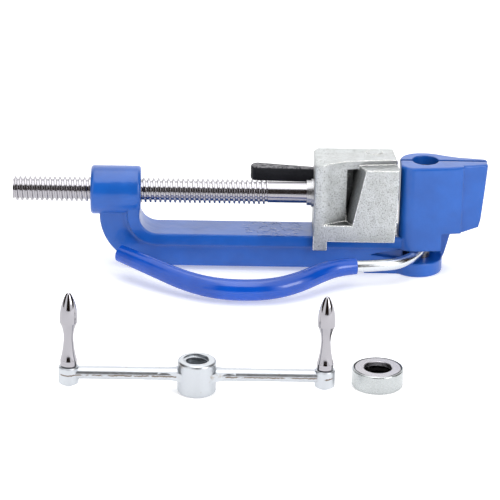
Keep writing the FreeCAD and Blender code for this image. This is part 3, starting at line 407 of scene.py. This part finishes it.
class TensionerSettings(PropertyGroup):
    enamel: StringProperty(name="Enamel", description="Colour of the casting's enamel", default="#0E5AB6")
    enamel_deep: StringProperty(
        name="Enamel, deep", description="Colour of the enamel where it lies thick", default="#0A50A6")
    vinyl: StringProperty(name="Vinyl", description="Colour of the lever's sleeve", default="#0850BC")
    vinyl_deep: StringProperty(
        name="Vinyl, deep", description="Darker clouds in the sleeve's colour", default="#0646AA")
    beam_top: FloatProperty(
        name="Beam Top", description="Height of the beam's upper face", default=26.3 * MM, unit="LENGTH")
    drips_left: FloatProperty(
        name="Drips, Left", description="Where the drips of enamel on the beam begin",
        default=-118 * MM, unit="LENGTH")
    drips_right: FloatProperty(
        name="Drips, Right", description="Where the drips of enamel on the beam end",
        default=-76 * MM, unit="LENGTH")
    parting_height: FloatProperty(
        name="Parting Line", description="Height of the mould's parting line on the crank",
        default=CRANK_LOW.z + CRANK_BAR_HEIGHT, unit="LENGTH")
    crank_front: FloatProperty(
        name="Crank Front", description="Where the crank's front face is", default=CRANK_FACE, unit="LENGTH")
    floor_size: FloatProperty(name="Floor", description="Side of the floor", default=8.0, unit="LENGTH")
    lens: FloatProperty(name="Lens", description="Focal length of the camera", default=216.0, unit="CAMERA")
    camera_place: FloatVectorProperty(
        name="Camera", description="Where the camera stands", default=(-0.1468, -1.8074, 0.7435),
        subtype="TRANSLATION", unit="LENGTH")
    camera_pitch: FloatProperty(
        name="Pitch", description="How far down the camera looks", default=radians(22.06), unit="ROTATION")
    camera_yaw: FloatProperty(
        name="Yaw", description="How far right the camera looks", default=radians(1.12), unit="ROTATION")
    camera_roll: FloatProperty(
        name="Roll", description="How far the camera leans", default=radians(1.31), unit="ROTATION")


# ---------------------------------------------------------------- operators

class TENSIONER_OT_paint_casting(Operator):
    """Enamels the frame's casting"""
    bl_idname = "tensioner.paint_casting"
    bl_label = "Paint Casting"

    def execute(self, context):
        finish_nodes(blue_enamel(context.scene.tensioner), "frame_casting")
        return {"FINISHED"}


class TENSIONER_OT_finish_carriage(Operator):
    """Plates the gripper block and its screw, and blackens the gripper's lever"""
    bl_idname = "tensioner.finish_carriage"
    bl_label = "Finish Carriage"

    def execute(self, context):
        finish_nodes(zinc_casting(), "gripper_block", "gripper_pin")
        # hard chrome over rolled flanks: sharp bright crests with dark roots between them
        finish_nodes(plated("chrome_on_rolled_thread", "#A6A4A9", 0.2), "tension_screw")
        # ground, uncoated steel: a soft grey sheen
        finish_nodes(plated("ground_steel", "#B9B9BC", 0.3, 0.5, 0.03),
                     "screw_seat_washer", "screw_shim_washers", "screw_cross_pin")
        finish_nodes(black_lever(), "gripper_lever")
        return {"FINISHED"}


class TENSIONER_OT_finish_cutter(Operator):
    """Finishes the cutter and its bent rod lever"""
    bl_idname = "tensioner.finish_cutter"
    bl_label = "Finish Cutter"

    def execute(self, context):
        # turned tool steel: darker, with fine tool marks
        finish_nodes(plated("turned_tool_steel", "#7C7A78", 0.3, 0.4, 0.02), "cutter_shaft")
        # black oxide: nearly black, with a dull sheen
        finish_nodes(plated("black_oxide_steel", "#2A2A2C", 0.4), "lever_set_screw", "cutter_snap_ring")
        # zinc on drawn rod: pale, with long soft reflections
        finish_nodes(plated("zinc_plated_rod", "#D4D8DC", 0.22, 1.2, 0.03),
                     "cutter_lever_rod", "cutter_washer")
        return {"FINISHED"}


class TENSIONER_OT_fit_sleeve(Operator):
    """Fits the swelled vinyl sleeve on the cutter's lever"""
    bl_idname = "tensioner.fit_sleeve"
    bl_label = "Fit Sleeve"

    def execute(self, context):
        sleeve = finished("lever_sleeve", swept_sleeve(), blue_vinyl(context.scene.tensioner),
                          "cutter")
        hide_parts("cutter_lever_grip")
        return {"FINISHED"}


class TENSIONER_OT_finish_crank(Operator):
    """Plates the loose crank and polishes its handles"""
    bl_idname = "tensioner.finish_crank"
    bl_label = "Finish Crank"

    def execute(self, context):
        finish_nodes(crank_casting(context.scene.tensioner), "crank_arm")
        # zinc on turned spindles: as pale as the crank, a little finer
        finish_nodes(plated("zinc_plated_spindle", "#D4D8DC", 0.24, 0.8, 0.02),
                     "spindle_left", "spindle_right")
        # polished chrome: mirror bands that follow the handles' waists
        finish_nodes(plated("polished_chrome", "#A4A2A7", 0.08), "crank_grip_left", "crank_grip_right")
        return {"FINISHED"}


class TENSIONER_OT_finish_bearing(Operator):
    """Plates the loose bearing's shell and grinds its races"""
    bl_idname = "tensioner.finish_bearing"
    bl_label = "Finish Bearing"

    def execute(self, context):
        # zinc on pressed sheet: pale and faintly mottled
        finish_nodes(plated("zinc_plated_shell", "#B4B8B9", 0.28, 1.4, 0.05), "bearing_shroud")
        # ground bearing steel: an even, faintly warm grey
        finish_nodes(plated("ground_race_steel", "#B9B7BC", 0.3, 0.5, 0.02), "bearing_upper_race")
        # near black metal, moderately rough
        finish_nodes(plated("near_black_bearing_inside", "#1B1A1A", 0.35),
                     "bearing_lower_race", "bearing_cage", "bearing_balls")
        return {"FINISHED"}


class TENSIONER_OT_set_stage(Operator):
    """Lays the lit white table, hangs the soft lights and stands the camera"""
    bl_idname = "tensioner.set_stage"
    bl_label = "Set Stage"

    def execute(self, context):
        settings = context.scene.tensioner
        made = bmesh.new()
        bmesh.ops.create_grid(made, x_segments=1, y_segments=1, size=settings.floor_size / 2)
        mesh = bpy.data.meshes.new("floor")
        made.to_mesh(mesh)
        made.free()
        floor = bpy.data.objects.new("floor", mesh)
        context.scene.collection.objects.link(floor)
        paper, _, shader, _ = new_finish("lit_white_table")
        shader.inputs["Base Color"].default_value = colour(TABLE_TONE)
        shader.inputs["Roughness"].default_value = 0.9
        shader.inputs["Specular IOR Level"].default_value = 0.1
        shader.inputs["Emission Color"].default_value = colour(TENT_TONE)
        shader.inputs["Emission Strength"].default_value = TABLE_GLOW
        mesh.materials.append(paper)

        for name, place, aim, size, power in SOFTBOXES:
            lamp = bpy.data.lights.new(name, "AREA")
            lamp.shape = "RECTANGLE"
            lamp.size, lamp.size_y = size
            lamp.energy = power
            light = bpy.data.objects.new(name, lamp)
            context.scene.collection.objects.link(light)
            light.location = place
            light.rotation_euler = (Vector(aim) - Vector(place)).to_track_quat("-Z", "Y").to_euler()
        context.scene.world = studio_light()

        camera = bpy.data.cameras.new("camera")
        camera.lens = settings.lens
        camera.sensor_width = SENSOR_WIDTH
        camera.clip_start = CLIP_NEAR
        camera.clip_end = CLIP_FAR
        stand = bpy.data.objects.new("camera", camera)
        context.scene.collection.objects.link(stand)
        stand.matrix_world = (
            Matrix.Translation(settings.camera_place)
            @ Matrix.Rotation(-settings.camera_yaw, 4, "Z")
            @ Matrix.Rotation(pi / 2 - settings.camera_pitch, 4, "X")
            @ Matrix.Rotation(settings.camera_roll, 4, "Z")
        )
        context.scene.camera = stand
        context.scene.view_settings.view_transform = "Standard"
        return {"FINISHED"}


class VIEW3D_PT_tensioner(Panel):
    bl_label = "Band Tensioner"
    bl_idname = "VIEW3D_PT_tensioner"
    bl_space_type = "VIEW_3D"
    bl_region_type = "UI"
    bl_category = "Band Tensioner"

    def draw(self, context):
        settings = context.scene.tensioner
        for name in settings.bl_rna.properties.keys():
            if name not in ("rna_type", "name"):
                self.layout.prop(settings, name)
        for step in STEPS:
            self.layout.operator(step.bl_idname)


STEPS = (
    TENSIONER_OT_paint_casting,
    TENSIONER_OT_finish_carriage,
    TENSIONER_OT_finish_cutter,
    TENSIONER_OT_fit_sleeve,
    TENSIONER_OT_finish_crank,
    TENSIONER_OT_finish_bearing,
    TENSIONER_OT_set_stage,
)
CLASSES = (TensionerSettings,) + STEPS + (VIEW3D_PT_tensioner,)


def register():
    for made in CLASSES:
        bpy.utils.register_class(made)
    bpy.types.Scene.tensioner = PointerProperty(type=TensionerSettings)


def unregister():
    del bpy.types.Scene.tensioner
    for made in reversed(CLASSES):
        bpy.utils.unregister_class(made)


def main():
    register()
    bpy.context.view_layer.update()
    bpy.ops.tensioner.paint_casting()
    bpy.ops.tensioner.finish_carriage()
    bpy.ops.tensioner.finish_cutter()
    bpy.ops.tensioner.fit_sleeve()
    bpy.ops.tensioner.finish_crank()
    bpy.ops.tensioner.finish_bearing()
    bpy.ops.tensioner.set_stage()


if __name__ == "__main__":
    main()
